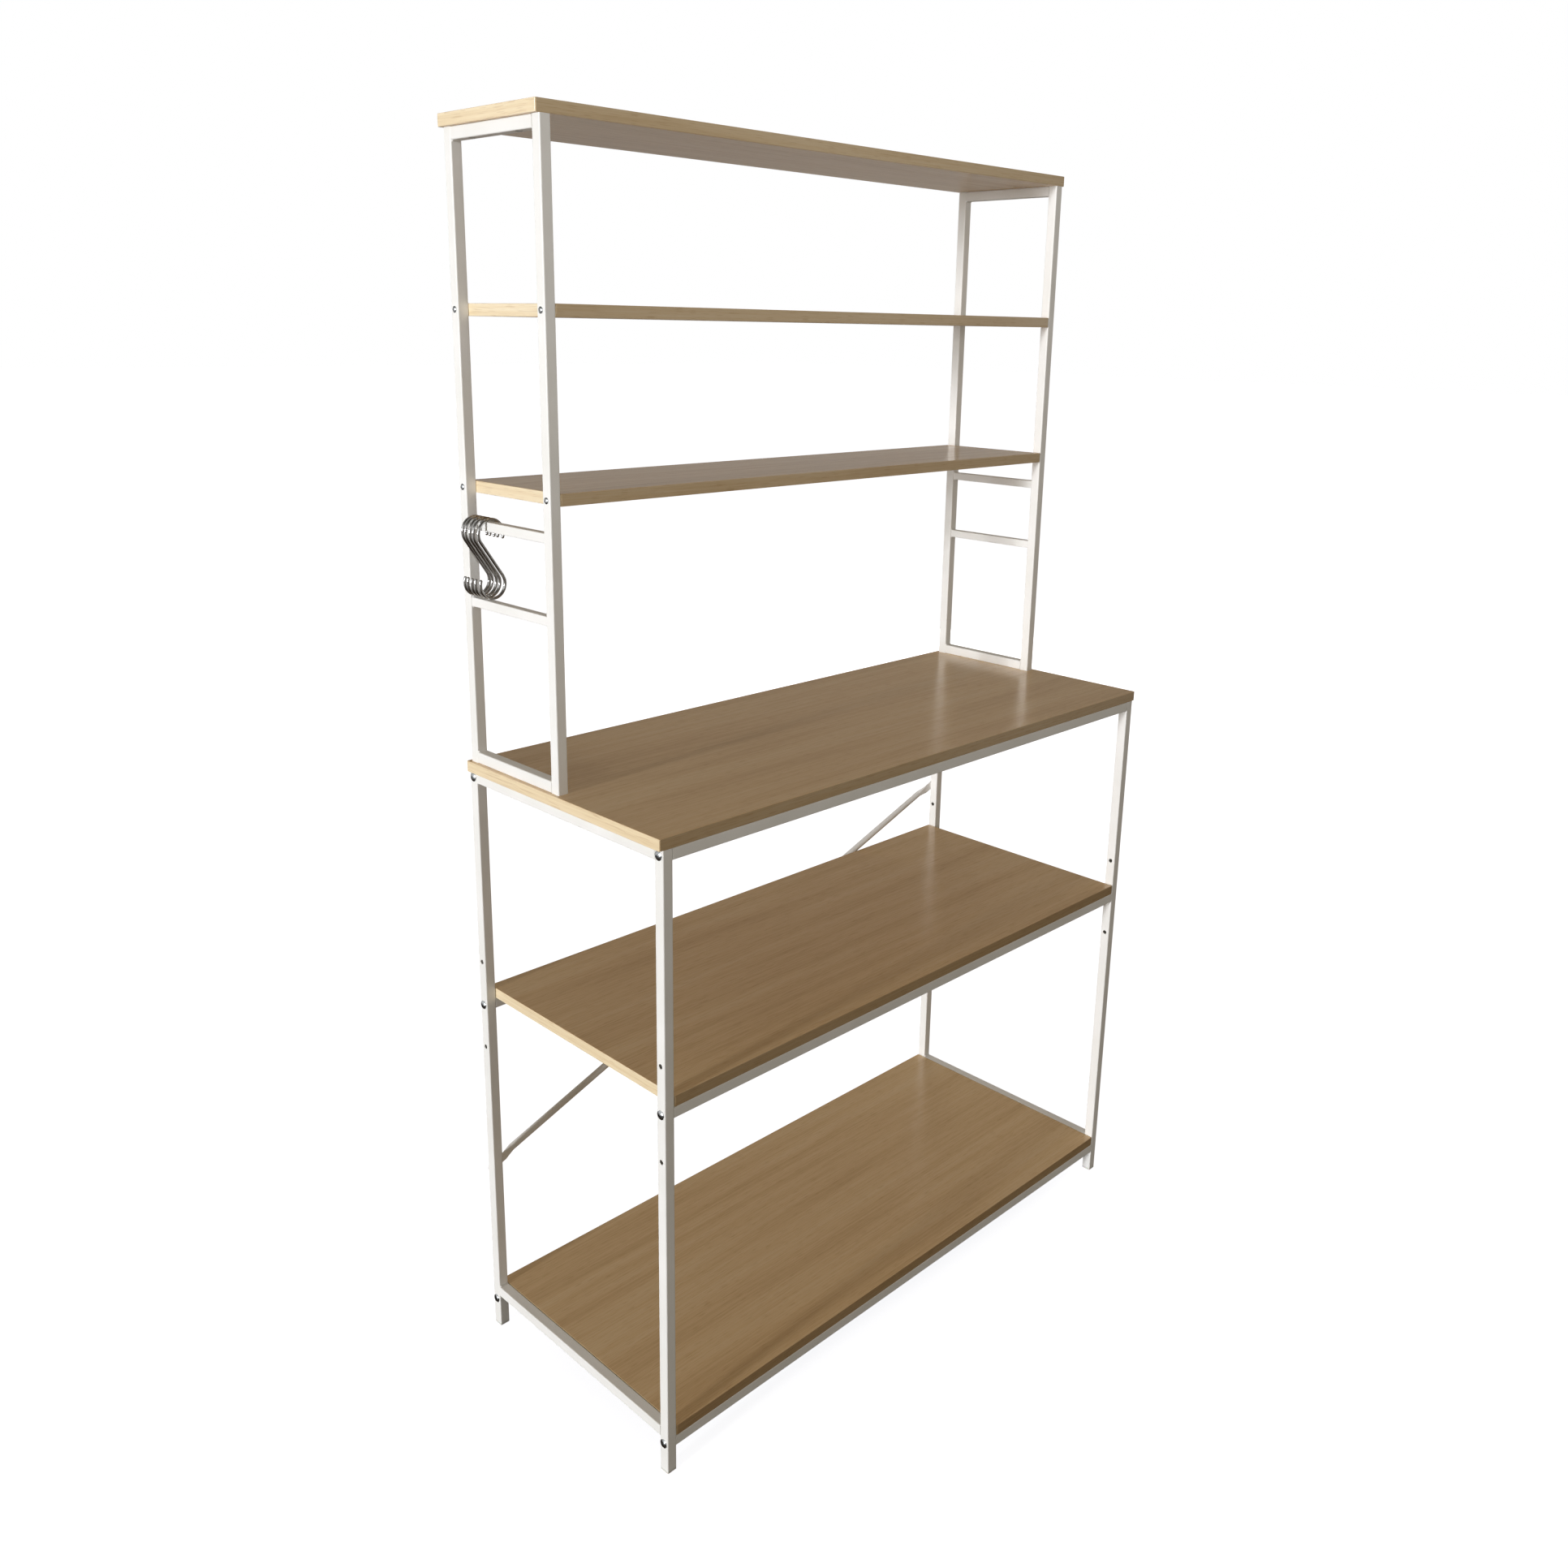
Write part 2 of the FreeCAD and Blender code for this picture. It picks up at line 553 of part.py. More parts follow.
for side in SIDES:
    for end in STAND_POST_Y:
        save(f"stand_{side}_{end}_post", [stand_post(side, end)])
        save(f"foot_{side}_{end}", [foot(side, end)])
        save(f"hutch_{side}_{end}_post", [hutch_post(side, end)])
    save(f"stand_{side}_top_rail", [stand_top_rail(side)])
    save(f"stand_{side}_bottom_rail", [stand_side_rail(side, SIDE_RAIL_BASE, [])])
    save(f"hutch_{side}_top_rail", [hutch_top_rail(side)])
    save(f"hutch_{side}_bottom_rail", [hutch_bottom_rail(side)])
    for rung in RUNG_TOPS:
        save(f"hutch_{side}_{rung}_rung", [hutch_rung(side, rung)])

for name in WIDE_BOARD_TOPS:
    for end in STAND_POST_Y:
        save(f"{name}_{end}_rail", [cross_rail(end, name)])

save("desk_board", [desk_board()])
save("middle_board", [wide_board("middle")])
save("bottom_board", [wide_board("bottom")])
save("top_board", [top_board()])
for name in SHELF_TOPS:
    save(f"{name}_shelf", [hutch_shelf(name)])

corners = [(side, end, name) for side in SIDES for end in STAND_POST_Y for name in WIDE_BOARD_TOPS]
frame_bolt_length = TUBE_SIZE + BOLT_GRIP
frame_bolts = [
    machine_bolt(bolt_place(*corner), outward_of(corner[0]), frame_bolt_length) for corner in corners
]
save("frame_bolts", frame_bolts)
save("rail_plugs", [rail_plug(*corner) for corner in corners])

rail_screws = [place for name in WIDE_BOARD_TOPS for place in rail_screw_places(name)]
save("rail_screws", [wood_screw(place, DOWN, SCREW_BITE) for place in rail_screws])
hutch_screw_length = 2 * TUBE_WALL + BOARD_THICKNESS + HUTCH_NUT_HEIGHT
hutch_screws = [
    screw(place, DOWN, hutch_screw_length, 0) for place in hutch_screw_places(STAND_TOP - TUBE_WALL)
]
save("hutch_screws", hutch_screws)
save("hutch_nuts", [hutch_nut(place) for place in hutch_screw_places(DESK_HEIGHT + TUBE_WALL)])
top_board_screw_length = TUBE_WALL + SCREW_BITE
top_board_screws = [
    screw(place, DOWN, top_board_screw_length, SCREW_TIP)
    for place in hutch_screw_places(HUTCH_FRAME_TOP - TUBE_WALL)
]
save("top_board_screws", top_board_screws)
shelf_screws = [pair for shelf in SHELF_TOPS for pair in shelf_screw_places(shelf)]
save("shelf_screws", [wood_screw(place, outward, END_SCREW_BITE) for place, outward in shelf_screws])

save("diagonal_brace", [diagonal_brace()])
save("brace_bolts", [brace_bolt(side) for side in SIDES])
save("brace_nuts", [brace_nut(side) for side in SIDES])

for number in range(len(HOOK_GAP_SHARES) + 1):
    save(f"s_hook_{number + 1}", [s_hook(number)])
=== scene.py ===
import math

import bpy
from mathutils import Euler, Matrix, Vector


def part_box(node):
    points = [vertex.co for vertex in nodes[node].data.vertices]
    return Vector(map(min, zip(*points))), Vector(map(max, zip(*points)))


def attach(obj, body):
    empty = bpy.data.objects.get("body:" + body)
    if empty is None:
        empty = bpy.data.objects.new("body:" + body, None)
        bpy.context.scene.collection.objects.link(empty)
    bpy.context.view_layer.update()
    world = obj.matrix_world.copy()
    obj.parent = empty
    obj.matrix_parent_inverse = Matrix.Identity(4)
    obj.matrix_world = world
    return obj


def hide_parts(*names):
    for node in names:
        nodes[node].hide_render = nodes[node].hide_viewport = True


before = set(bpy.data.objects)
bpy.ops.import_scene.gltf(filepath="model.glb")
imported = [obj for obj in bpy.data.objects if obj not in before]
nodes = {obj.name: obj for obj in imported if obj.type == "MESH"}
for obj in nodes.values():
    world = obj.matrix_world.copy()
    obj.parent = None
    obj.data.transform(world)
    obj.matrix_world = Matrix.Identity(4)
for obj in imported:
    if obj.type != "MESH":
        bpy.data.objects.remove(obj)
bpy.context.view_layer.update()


# Side frames of the stand
# Posts and side rails are square steel tube, cut square, welded into two frames and
# powder-coated white as one piece, so that the coat runs on over the joints.
def linear(hex_colour):
    """An sRGB hex colour as the linear colour that a shader takes."""
    shares = [int(hex_colour[start:start + 2], 16) / 255 for start in (0, 2, 4)]
    curve = [
        share / 12.92 if share <= 0.04045 else ((share + 0.055) / 1.055) ** 2.4
        for share in shares
    ]
    return (*curve, 1.0)


def add_node(tree, kind, settings, links):
    """Adds a shader node, sets its inputs and properties, and links its inputs to outputs.

    A colour ramp takes its (position, hex colour) stops from the setting named stops.
    """
    node = tree.nodes.new("ShaderNode" + kind)
    for name, value in settings.items():
        if name == "stops":
            elements = node.color_ramp.elements
            while len(elements) < len(value):
                elements.new(1.0)
            for element, (position, hex_colour) in zip(elements, value):
                element.position = position
                element.color = linear(hex_colour)
        elif isinstance(name, int) or name in node.inputs:
            node.inputs[name].default_value = value
        else:
            setattr(node, name, value)
    for name, output in links.items():
        tree.links.new(output, node.inputs[name])
    return node


def new_material(name):
    """An empty node material."""
    material = bpy.data.materials.new(name)
    material.use_nodes = True
    material.node_tree.nodes.clear()
    return material


def finish_nodes(material, names):
    """Gives CAD nodes their real finish."""
    for name in names:
        for material_slot in nodes[name].material_slots:
            material_slot.material = material


# Polyester powder coat, sprayed dry and baked. It melts into a satin skin with a slight
# pebble, so highlights on the tubes are soft and finely broken up. The pebble is drawn at
# its real size, and the tone drifts a little with the thickness of the coat.
pebble_size, pebble_height = 0.0022, 0.00006
cloud_size = 0.07
coat_smoothest, coat_roughest = 0.36, 0.46

powder_coat = new_material("white_polyester_powder_coat")
tree = powder_coat.node_tree
place = add_node(tree, "TexCoord", {}, {})
here = {"Vector": place.outputs["Object"]}
pebbles = add_node(tree, "TexNoise", {"Scale": 1 / pebble_size, "Detail": 1.5}, here)
clouds = add_node(tree, "TexNoise", {"Scale": 1 / cloud_size, "Detail": 3.0}, here)
cloud = {"Fac": clouds.outputs["Fac"]}
paint_tone = add_node(tree, "ValToRGB", {"stops": [(0.3, "EDECE8"), (0.7, "F4F3F1")]}, cloud)
paint_gloss = add_node(
    tree,
    "MapRange",
    {"To Min": coat_smoothest, "To Max": coat_roughest},
    {"Value": clouds.outputs["Fac"]},
)
paint_bump = add_node(
    tree,
    "Bump",
    {"Strength": 0.35, "Distance": pebble_height},
    {"Height": pebbles.outputs["Fac"]},
)
paint_shader = add_node(
    tree,
    "BsdfPrincipled",
    {"IOR": 1.5},
    {
        "Base Color": paint_tone.outputs["Color"],
        "Roughness": paint_gloss.outputs["Result"],
        "Normal": paint_bump.outputs["Normal"],
    },
)
add_node(tree, "OutputMaterial", {}, {"Surface": paint_shader.outputs["BSDF"]})

sides = ("left", "right")
ends = ("front", "rear")
stand_posts = [f"stand_{side}_{end}_post" for side in sides for end in ends]
stand_rails = [f"stand_{side}_{level}_rail" for side in sides for level in ("top", "bottom")]
finish_nodes(powder_coat, stand_posts + stand_rails)


# Weld beads of the stand
# Each side rail is welded to its posts along its free upper and lower edges. The bead is a
# small rippled fillet under the paint, and the outer faces are ground flush.
tube_size = 0.015
bead_radius = 0.0018
bead_end_radius = bead_radius / 2
ripple_dip_radius = bead_radius * 0.82
ripple_step = 0.00105
ripple_count = 6


def weld_bead():
    """One rippled bead along X, centred on the origin."""
    bpy.ops.object.select_all(action="DESELECT")
    bpy.ops.mesh.primitive_circle_add(
        vertices=16,
        radius=bead_end_radius,
        fill_type="NGON",
        location=(-ripple_step * ripple_count, 0, 0),
        rotation=(0, math.radians(90), 0),
    )
    bead = bpy.context.object
    bpy.ops.object.transform_apply()
    bpy.ops.object.mode_set(mode="EDIT")
    crests_and_dips = [bead_radius, ripple_dip_radius] * (ripple_count - 1)
    radius, along = bead_end_radius, -ripple_step * ripple_count
    for next_radius in crests_and_dips + [bead_radius, bead_end_radius]:
        bpy.ops.mesh.extrude_region_move(TRANSFORM_OT_translate={"value": (ripple_step, 0, 0)})
        along += ripple_step
        swell = next_radius / radius
        bpy.ops.transform.resize(value=(1, swell, swell), center_override=(along, 0, 0))
        radius = next_radius
    bpy.ops.mesh.select_all(action="SELECT")
    bpy.ops.mesh.normals_make_consistent(inside=False)
    bpy.ops.object.mode_set(mode="OBJECT")
    bpy.ops.object.shade_smooth()
    return bead


def place_copies(master, name, matrices):
    """Joins one copy of a master for each matrix into a piece, and removes the master."""
    bpy.ops.object.select_all(action="DESELECT")
    for matrix in matrices:
        copy = bpy.data.objects.new(name, master.data.copy())
        copy.data.transform(matrix)
        bpy.context.scene.collection.objects.link(copy)
        copy.select_set(True)
        bpy.context.view_layer.objects.active = copy
    bpy.ops.object.join()
    bpy.data.objects.remove(master)
    piece = bpy.context.object
    piece.name = name
    return piece


def bead_places(rail, over, under):
    """Where a side rail's beads lie: at both ends, over it, under it or both."""
    low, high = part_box(rail)
    stretch = (high.x - low.x) / tube_size
    heights = [high.z] * over + [low.z] * under
    return [
        Matrix.Translation(((low.x + high.x) / 2, y, z)) @ Matrix.Diagonal((stretch, 1, 1, 1))
        for y in (low.y, high.y)
        for z in heights
    ]


stand_bead_places = []
for side in sides:
    stand_bead_places += bead_places(f"stand_{side}_top_rail", over=False, under=True)
    stand_bead_places += bead_places(f"stand_{side}_bottom_rail", over=True, under=True)
stand_welds = place_copies(weld_bead(), "stand_weld_beads", stand_bead_places)
stand_welds.data.materials.append(powder_coat)
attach(stand_welds, "rack")


# Cross rails
# Six lengths of the same coated tube, one at the front and one at the back under each
# wide board. A threaded plug in each end takes the bolt that pulls the rail to its post.
levels = ("desk", "middle", "bottom")
cross_rails = [f"{level}_{end}_rail" for level in levels for end in ends]
finish_nodes(powder_coat, cross_rails)


# Frame bolts
# Pan-head machine bolts, cold-headed from steel wire, with a tapered cross recess punched
# in the head. One goes through each post into each cross rail.
bolt_head_radius = 0.006
bolt_head_height = 0.003
bolt_rim_height = 0.001
bolt_radius = 0.003
bolt_length = 0.029
head_sides, dome_rings = 32, 6
crease_degrees = 35

# The recess, as shares of the head's height and radius, and how far it narrows to its floor
recess_depth, recess_length, recess_width = 0.8, 1.1, 0.24
recess_taper = 0.5

# Bright zinc plating, which dulls a little in patches. The steel under it keeps the head
# smooth, so it mirrors the room in soft, slightly blue greys.
zinc_cloud_size = 0.0025
zinc_smoothest, zinc_roughest = 0.16, 0.3

zinc = new_material("bright_zinc_plated_steel")
tree = zinc.node_tree
place = add_node(tree, "TexCoord", {}, {})
here = {"Vector": place.outputs["Object"]}
clouds = add_node(tree, "TexNoise", {"Scale": 1 / zinc_cloud_size, "Detail": 2.0}, here)
cloud = {"Fac": clouds.outputs["Fac"]}
zinc_tone = add_node(tree, "ValToRGB", {"stops": [(0.3, "A3A6A8"), (0.7, "BEC1C1")]}, cloud)
zinc_gloss = add_node(
    tree,
    "MapRange",
    {"To Min": zinc_smoothest, "To Max": zinc_roughest},
    {"Value": clouds.outputs["Fac"]},
)
zinc_shader = add_node(
    tree,
    "BsdfPrincipled",
    {"Metallic": 1.0},
    {"Base Color": zinc_tone.outputs["Color"], "Roughness": zinc_gloss.outputs["Result"]},
)
add_node(tree, "OutputMaterial", {}, {"Surface": zinc_shader.outputs["BSDF"]})


def cut_blade(screw, head_radius, head_height, turn):
    """Cuts one slot of a cross recess, which narrows towards its floor."""
    depth = recess_depth * head_height
    bpy.ops.object.select_all(action="DESELECT")
    bpy.ops.mesh.primitive_cube_add(size=1, location=(0, 0, head_height))
    blade = bpy.context.object
    blade.scale = (recess_length * head_radius, recess_width * head_radius, 2 * depth)
    blade.rotation_euler = (0, 0, turn)
    bpy.ops.object.transform_apply()
    bpy.ops.object.mode_set(mode="EDIT")
    bpy.ops.mesh.select_mode(type="FACE")
    bpy.ops.mesh.select_all(action="DESELECT")
    bpy.ops.object.mode_set(mode="OBJECT")
    for polygon in blade.data.polygons:
        polygon.select = polygon.normal.z < -0.5
    bpy.ops.object.mode_set(mode="EDIT")
    bpy.ops.transform.resize(
        value=(recess_taper, recess_taper, 1), center_override=(0, 0, head_height - depth)
    )
    bpy.ops.object.mode_set(mode="OBJECT")
    recess = screw.modifiers.new("recess", "BOOLEAN")
    recess.object = blade
    recess.operation = "DIFFERENCE"
    bpy.ops.object.select_all(action="DESELECT")
    screw.select_set(True)
    bpy.context.view_layer.objects.active = screw
    bpy.ops.object.modifier_apply(modifier=recess.name)
    bpy.data.objects.remove(blade)


def cross_headed(head_radius, rim_height, head_height, shank_radius, length):
    """A screw along Z: shank below the origin, then seat, rim and dome with a cross recess."""
    bpy.ops.object.select_all(action="DESELECT")
    bpy.ops.mesh.primitive_circle_add(
        vertices=head_sides, radius=shank_radius, fill_type="NGON", location=(0, 0, -length)
    )
    screw = bpy.context.object
    bpy.ops.object.transform_apply()
    bpy.ops.object.mode_set(mode="EDIT")
    bpy.ops.mesh.extrude_region_move(TRANSFORM_OT_translate={"value": (0, 0, length)})
    bpy.ops.mesh.extrude_region_move(TRANSFORM_OT_translate={"value": (0, 0, 0)})
    outward = head_radius / shank_radius
    bpy.ops.transform.resize(value=(outward, outward, 1), center_override=(0, 0, 0))
    bpy.ops.mesh.extrude_region_move(TRANSFORM_OT_translate={"value": (0, 0, rim_height)})
    rise = head_height - rim_height
    dome_radius = (head_radius ** 2 + rise ** 2) / (2 * rise)
    radius, height = head_radius, rim_height
    for ring in range(1, dome_rings):
        next_radius = head_radius * (1 - ring / dome_rings)
        next_height = head_height - dome_radius + math.sqrt(dome_radius ** 2 - next_radius ** 2)
        climb = (0, 0, next_height - height)
        bpy.ops.mesh.extrude_region_move(TRANSFORM_OT_translate={"value": climb})
        inward = next_radius / radius
        bpy.ops.transform.resize(value=(inward, inward, 1), center_override=(0, 0, next_height))
        radius, height = next_radius, next_height
    bpy.ops.mesh.select_all(action="SELECT")
    bpy.ops.mesh.normals_make_consistent(inside=False)
    bpy.ops.object.mode_set(mode="OBJECT")
    for turn in (0, 90):
        cut_blade(screw, head_radius, head_height, math.radians(turn))
    bpy.ops.object.shade_smooth_by_angle(angle=math.radians(crease_degrees))
    return screw


def facing(point, direction):
    """The place of a screw whose head sits on a face at a point and looks in a direction."""
    turn = Vector(direction).to_track_quat("Z", "Y").to_matrix().to_4x4()
    return Matrix.Translation(point) @ turn


rack_low, rack_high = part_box("stand_left_front_post")[0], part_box("stand_right_rear_post")[1]
bolt_places = []
for rail in cross_rails:
    low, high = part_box(rail)
    middle = (low + high) / 2
    bolt_places.append(facing((rack_low.x, middle.y, middle.z), (-1, 0, 0)))
    bolt_places.append(facing((rack_high.x, middle.y, middle.z), (1, 0, 0)))
bolt = cross_headed(bolt_head_radius, bolt_rim_height, bolt_head_height, bolt_radius, bolt_length)
frame_bolts = place_copies(bolt, "machine_bolts", bolt_places)
frame_bolts.data.materials.append(zinc)
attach(frame_bolts, "rack")
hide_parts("frame_bolts")
finish_nodes(zinc, ["rail_plugs"])


# Boards of the stand
# The desk board and the two boards below it are chipboard, skinned on both faces with
# melamine printed as light oak, and edged with a plastic band of the same print.
skin_hexes = ("D1B083", "DCBC8F", "E1C499")
band_hexes = ("E1CBA5", "EAD6B2", "F0E0C1")
# Painted shade on the long edges of the band, strongest on the lowest boards and least at the top
edge_shade_hex = "B4A088"
lowest_edge, lowest_edge_shade = 0.2, 0.9
highest_edge, highest_edge_shade = 1.7, 0.42
ribbon_length, ribbon_width = 0.9, 0.032
fibre_length, fibre_width = 0.14, 0.0026
pore_length, pore_width = 0.022, 0.0011
arch_length, arch_width, arch_count = 1.6, 0.16, 7.0
ribbon_share, fibre_share, arch_share = 0.55, 0.45, 0.04
pore_start, pore_full = 0.62, 0.72
pore_hex, pore_strength, pore_press = "B9976A", 0.22, 0.00004
skin_smoothest, skin_roughest = 0.18, 0.27
facing_limit = 0.7

# The print has broad soft ribbons, faint pointed arches and fine fibres along the board,
# with short dark pores, which are pressed in too. Real pores are half a millimetre wide,
# and are drawn twice as coarse so that they show. The skin is satin and reflects softly.
# The band on the long edges carries painted shade: it is darker than on the ends, and darkest on
# the low boards, which lie in less light.
laminate = new_material("light_oak_melamine")
tree = laminate.node_tree
place = add_node(tree, "TexCoord", {}, {})
point = add_node(tree, "SeparateXYZ", {}, {"Vector": place.outputs["Object"]})
turned = add_node(
    tree,
    "CombineXYZ",
    {},
    {"X": point.outputs["Y"], "Y": point.outputs["X"], "Z": point.outputs["Z"]},
)
facing_out = add_node(tree, "SeparateXYZ", {}, {"Vector": place.outputs["Normal"]})
endwise = add_node(tree, "Math", {"operation": "ABSOLUTE"}, {0: facing_out.outputs["X"]})
is_end = add_node(
    tree, "Math", {"operation": "GREATER_THAN", 1: facing_limit}, {0: endwise.outputs["Value"]}
)
level = add_node(tree, "Math", {"operation": "ABSOLUTE"}, {0: facing_out.outputs["Z"]})
is_band = add_node(
    tree, "Math", {"operation": "LESS_THAN", 1: facing_limit}, {0: level.outputs["Value"]}
)
along = add_node(
    tree,
    "MixRGB",
    {},
    {
        "Fac": is_end.outputs["Value"],
        "Color1": place.outputs["Object"],
        "Color2": turned.outputs["Vector"],
    },
)


def grain_noise(length, width, detail):
    """Noise drawn out along the grain, with streaks of about one length and width."""
    stretched = add_node(
        tree,
        "VectorMath",
        {"operation": "MULTIPLY", 1: (1 / length, 1 / width, 1 / width)},
        {0: along.outputs["Color"]},
    )
    noise = add_node(
        tree, "TexNoise", {"Scale": 1.0, "Detail": detail}, {"Vector": stretched.outputs["Vector"]}
    )
    return noise.outputs["Fac"]


ribbons = grain_noise(ribbon_length, ribbon_width, 3.0)
fibres = grain_noise(fibre_length, fibre_width, 2.0)
pores = grain_noise(pore_length, pore_width, 0.0)
arches = grain_noise(arch_length, arch_width, 1.0)
arch_lines = add_node(
    tree, "Math", {"operation": "MULTIPLY", 1: arch_count * math.tau}, {0: arches}
)
arch_waves = add_node(tree, "Math", {"operation": "SINE"}, {0: arch_lines.outputs["Value"]})
grain = add_node(tree, "Math", {"operation": "MULTIPLY", 1: ribbon_share}, {0: ribbons})
for share, streaks in ((fibre_share, fibres), (arch_share, arch_waves.outputs["Value"])):
    grain = add_node(
        tree,
        "Math",
        {"operation": "MULTIPLY_ADD", 1: share},
        {0: streaks, 2: grain.outputs["Value"]},
    )
grain_tone = {"Fac": grain.outputs["Value"]}
tone_stops = (0.36, 0.5, 0.64)
skin_tone = add_node(tree, "ValToRGB", {"stops": list(zip(tone_stops, skin_hexes))}, grain_tone)
band_tone = add_node(tree, "ValToRGB", {"stops": list(zip(tone_stops, band_hexes))}, grain_tone)
printed = add_node(
    tree,
    "MixRGB",
    {},
    {
        "Fac": is_band.outputs["Value"],
        "Color1": skin_tone.outputs["Color"],
        "Color2": band_tone.outputs["Color"],
    },
)
is_long_edge = add_node(
    tree,
    "Math",
    {"operation": "SUBTRACT", "use_clamp": True},
    {0: is_band.outputs["Value"], 1: is_end.outputs["Value"]},
)
# Painted shade: the long edges of the band are darkened, more the lower they lie
shade_by_height = add_node(
    tree,
    "MapRange",
    {
        "From Min": lowest_edge,
        "From Max": highest_edge,
        "To Min": lowest_edge_shade,
        "To Max": highest_edge_shade,
    },
    {"Value": point.outputs["Z"]},
)
painted_edge_shade = add_node(
    tree,
    "Math",
    {"operation": "MULTIPLY"},
    {0: shade_by_height.outputs["Result"], 1: is_long_edge.outputs["Value"]},
)
printed = add_node(
    tree,
    "MixRGB",
    {"blend_type": "MULTIPLY", "Color2": linear(edge_shade_hex)},
    {"Fac": painted_edge_shade.outputs["Value"], "Color1": printed.outputs["Color"]},
)
pore_depth = add_node(
    tree, "MapRange", {"From Min": pore_start, "From Max": pore_full}, {"Value": pores}
)
pore_shade = add_node(
    tree, "Math", {"operation": "MULTIPLY", 1: pore_strength}, {0: pore_depth.outputs["Result"]}
)
board_tone = add_node(
    tree,
    "MixRGB",
    {"blend_type": "MULTIPLY", "Color2": linear(pore_hex)},
    {"Fac": pore_shade.outputs["Value"], "Color1": printed.outputs["Color"]},
)
board_gloss = add_node(
    tree, "MapRange", {"To Min": skin_smoothest, "To Max": skin_roughest}, {"Value": fibres}
)
board_bump = add_node(
    tree,
    "Bump",
    {"Strength": 0.25, "Distance": pore_press, "invert": True},
    {"Height": pore_depth.outputs["Result"]},
)
board_shader = add_node(
    tree,
    "BsdfPrincipled",
    {"IOR": 1.5},
    {
        "Base Color": board_tone.outputs["Color"],
        "Roughness": board_gloss.outputs["Result"],
        "Normal": board_bump.outputs["Normal"],
    },
)
add_node(tree, "OutputMaterial", {}, {"Surface": board_shader.outputs["BSDF"]})
finish_nodes(laminate, ["desk_board", "middle_board", "bottom_board"])


# Screws under the wide boards
# Pan-head chipboard screws of zinc-plated steel go up through the cross rails into the
# boards, two to a rail.
screw_head_radius = 0.004
screw_head_height = 0.0022
screw_rim_height = 0.0006
screw_radius = 0.002
board_bite = 0.010
rail_screw_spread = 0.480


def chipboard_screw(bite):
    """A chipboard screw that goes through one tube and bites into the board behind it."""
    return cross_headed(
        screw_head_radius, screw_rim_height, screw_head_height, screw_radius, tube_size + bite
    )


rail_screw_places = []
for rail in cross_rails:
    low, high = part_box(rail)
    for hand in (-1, 1):
        point = (hand * rail_screw_spread / 2, (low.y + high.y) / 2, low.z)
        rail_screw_places.append(facing(point, (0, 0, -1)))
rail_screws = place_copies(chipboard_screw(board_bite), "rail_chipboard_screws", rail_screw_places)
rail_screws.data.materials.append(zinc)
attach(rail_screws, "rack")
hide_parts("rail_screws")


# Feet
# A moulded foot closes the bottom of each post of the stand. Its plug is pushed up into
# the tube, and its pad stands on the floor.

# Polyethylene, moulded in off-white. It is waxy and a little see-through at its edges,
# with the fine matt grain of a spark-eroded mould.
mould_grain, mould_grain_height = 0.0006, 0.00003

polyethylene = new_material("moulded_white_polyethylene")
tree = polyethylene.node_tree
place = add_node(tree, "TexCoord", {}, {})
here = {"Vector": place.outputs["Object"]}
grains = add_node(tree, "TexNoise", {"Scale": 1 / mould_grain, "Detail": 2.0}, here)
grain = {"Fac": grains.outputs["Fac"]}
foot_tone = add_node(tree, "ValToRGB", {"stops": [(0.35, "D9D7D1"), (0.65, "E1DFD9")]}, grain)
foot_bump = add_node(
    tree,
    "Bump",
    {"Strength": 0.4, "Distance": mould_grain_height},
    {"Height": grains.outputs["Fac"]},
)
foot_shader = add_node(
    tree,
    "BsdfPrincipled",
    {"IOR": 1.5, "Roughness": 0.55, "Subsurface Weight": 0.1, "Subsurface Scale": 0.002},
    {"Base Color": foot_tone.outputs["Color"], "Normal": foot_bump.outputs["Normal"]},
)
add_node(tree, "OutputMaterial", {}, {"Surface": foot_shader.outputs["BSDF"]})
finish_nodes(polyethylene, [f"foot_{side}_{end}" for side in sides for end in ends])


# Diagonal brace
# A coated round tube crosses the back of the stand. Its ends are pressed flat and punched,
# and a short bolt with a nut inside the post holds each of them.
brace_bolt_length = 0.0079

finish_nodes(powder_coat, ["diagonal_brace"])
low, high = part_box("brace_bolts")
eyes = [(low.x + bolt_head_radius, low.z + bolt_head_radius)]
eyes.append((high.x - bolt_head_radius, high.z - bolt_head_radius))
seat = high.y - bolt_head_height
brace_bolt = cross_headed(
    bolt_head_radius, bolt_rim_height, bolt_head_height, bolt_radius, brace_bolt_length
)
brace_bolts = place_copies(
    brace_bolt, "brace_pan_bolts", [facing((x, seat, z), (0, 1, 0)) for x, z in eyes]
)
brace_bolts.data.materials.append(zinc)
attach(brace_bolts, "rack")
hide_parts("brace_bolts")
finish_nodes(zinc, ["brace_nuts"])


# Hutch frames
# Two smaller frames of the same tube, with two thinner rungs each, welded and coated like
# the stand. Machine screws with their heads inside the stand's top rails go up through the
# desk board into nuts in the bottom rails.
hutch_posts = [f"hutch_{side}_{end}_post" for side in sides for end in ends]
hutch_rails = [f"hutch_{side}_{level}_rail" for side in sides for level in ("top", "bottom")]
rungs = [f"hutch_{side}_{level}_rung" for side in sides for level in ("upper", "lower")]
finish_nodes(powder_coat, hutch_posts + hutch_rails + rungs)

hutch_bead_places = []
for side in sides:
    hutch_bead_places += bead_places(f"hutch_{side}_top_rail", over=False, under=True)
    hutch_bead_places += bead_places(f"hutch_{side}_bottom_rail", over=True, under=False)
for rung in rungs:
    hutch_bead_places += bead_places(rung, over=True, under=True)
hutch_welds = place_copies(weld_bead(), "hutch_weld_beads", hutch_bead_places)
hutch_welds.data.materials.append(powder_coat)
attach(hutch_welds, "rack")

hutch_screw_spread = 0.095


